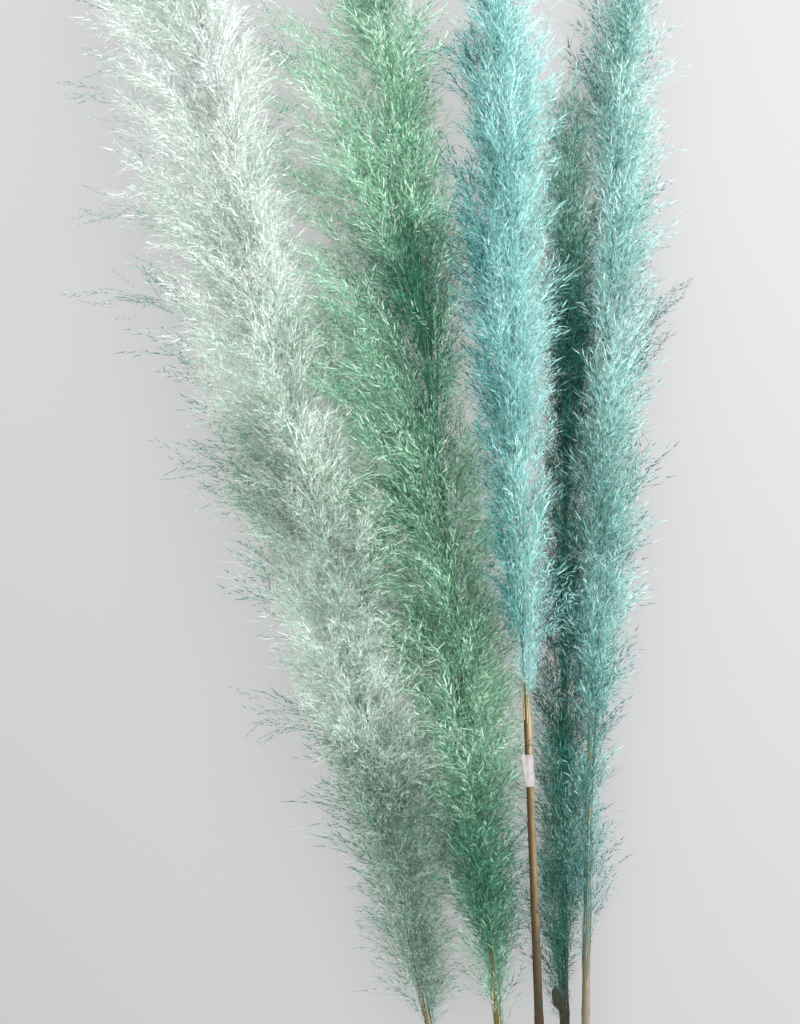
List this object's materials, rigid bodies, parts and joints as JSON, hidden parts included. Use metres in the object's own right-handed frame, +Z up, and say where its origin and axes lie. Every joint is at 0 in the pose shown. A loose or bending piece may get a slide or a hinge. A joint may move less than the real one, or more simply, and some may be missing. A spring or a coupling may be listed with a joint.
{
  "type": "bundle of pampas grass",
  "caption": "Dried and dyed pampas grass stalks lying in a loose fan: slim tan stems whose long feathery plumes run from pale mint through sage to aqua and blue-green.",
  "frame": {"origin": "on the surface that the bundle lies on, under the middle of its bounding box", "axes": "+Y runs from the cut ends towards the plume tips, +X is to the right seen from above, +Z is up"},
  "size_m": [0.3846, 1.192, 0.0853],
  "materials": {
    "stem": "satin dry cane with dye specks",
    "mint_plume": "silky dry hair, dyed pale mint",
    "sage_plume": "silky dry hair, dyed sage green",
    "aqua_plume": "silky dry hair, dyed aqua",
    "teal_plume": "silky dry hair, dyed dark teal",
    "lagoon_plume": "silky dry hair, dyed blue-green",
    "tape": "matt white paper tape",
    "dry_leaf": "matt dry leaf sheath, dark brown"
  },
  "bodies": {
    "root": {"mint_stem": "stem", "mint_plume": "mint_plume", "sage_stem": "stem", "sage_plume": "sage_plume", "aqua_stem": "stem", "aqua_plume": "aqua_plume", "teal_stem": "stem", "teal_plume": "teal_plume", "lagoon_stem": "stem", "lagoon_plume": "lagoon_plume", "stem_tape": "tape", "leaf_sheath": "dry_leaf"}
  },
  "joints": []
}
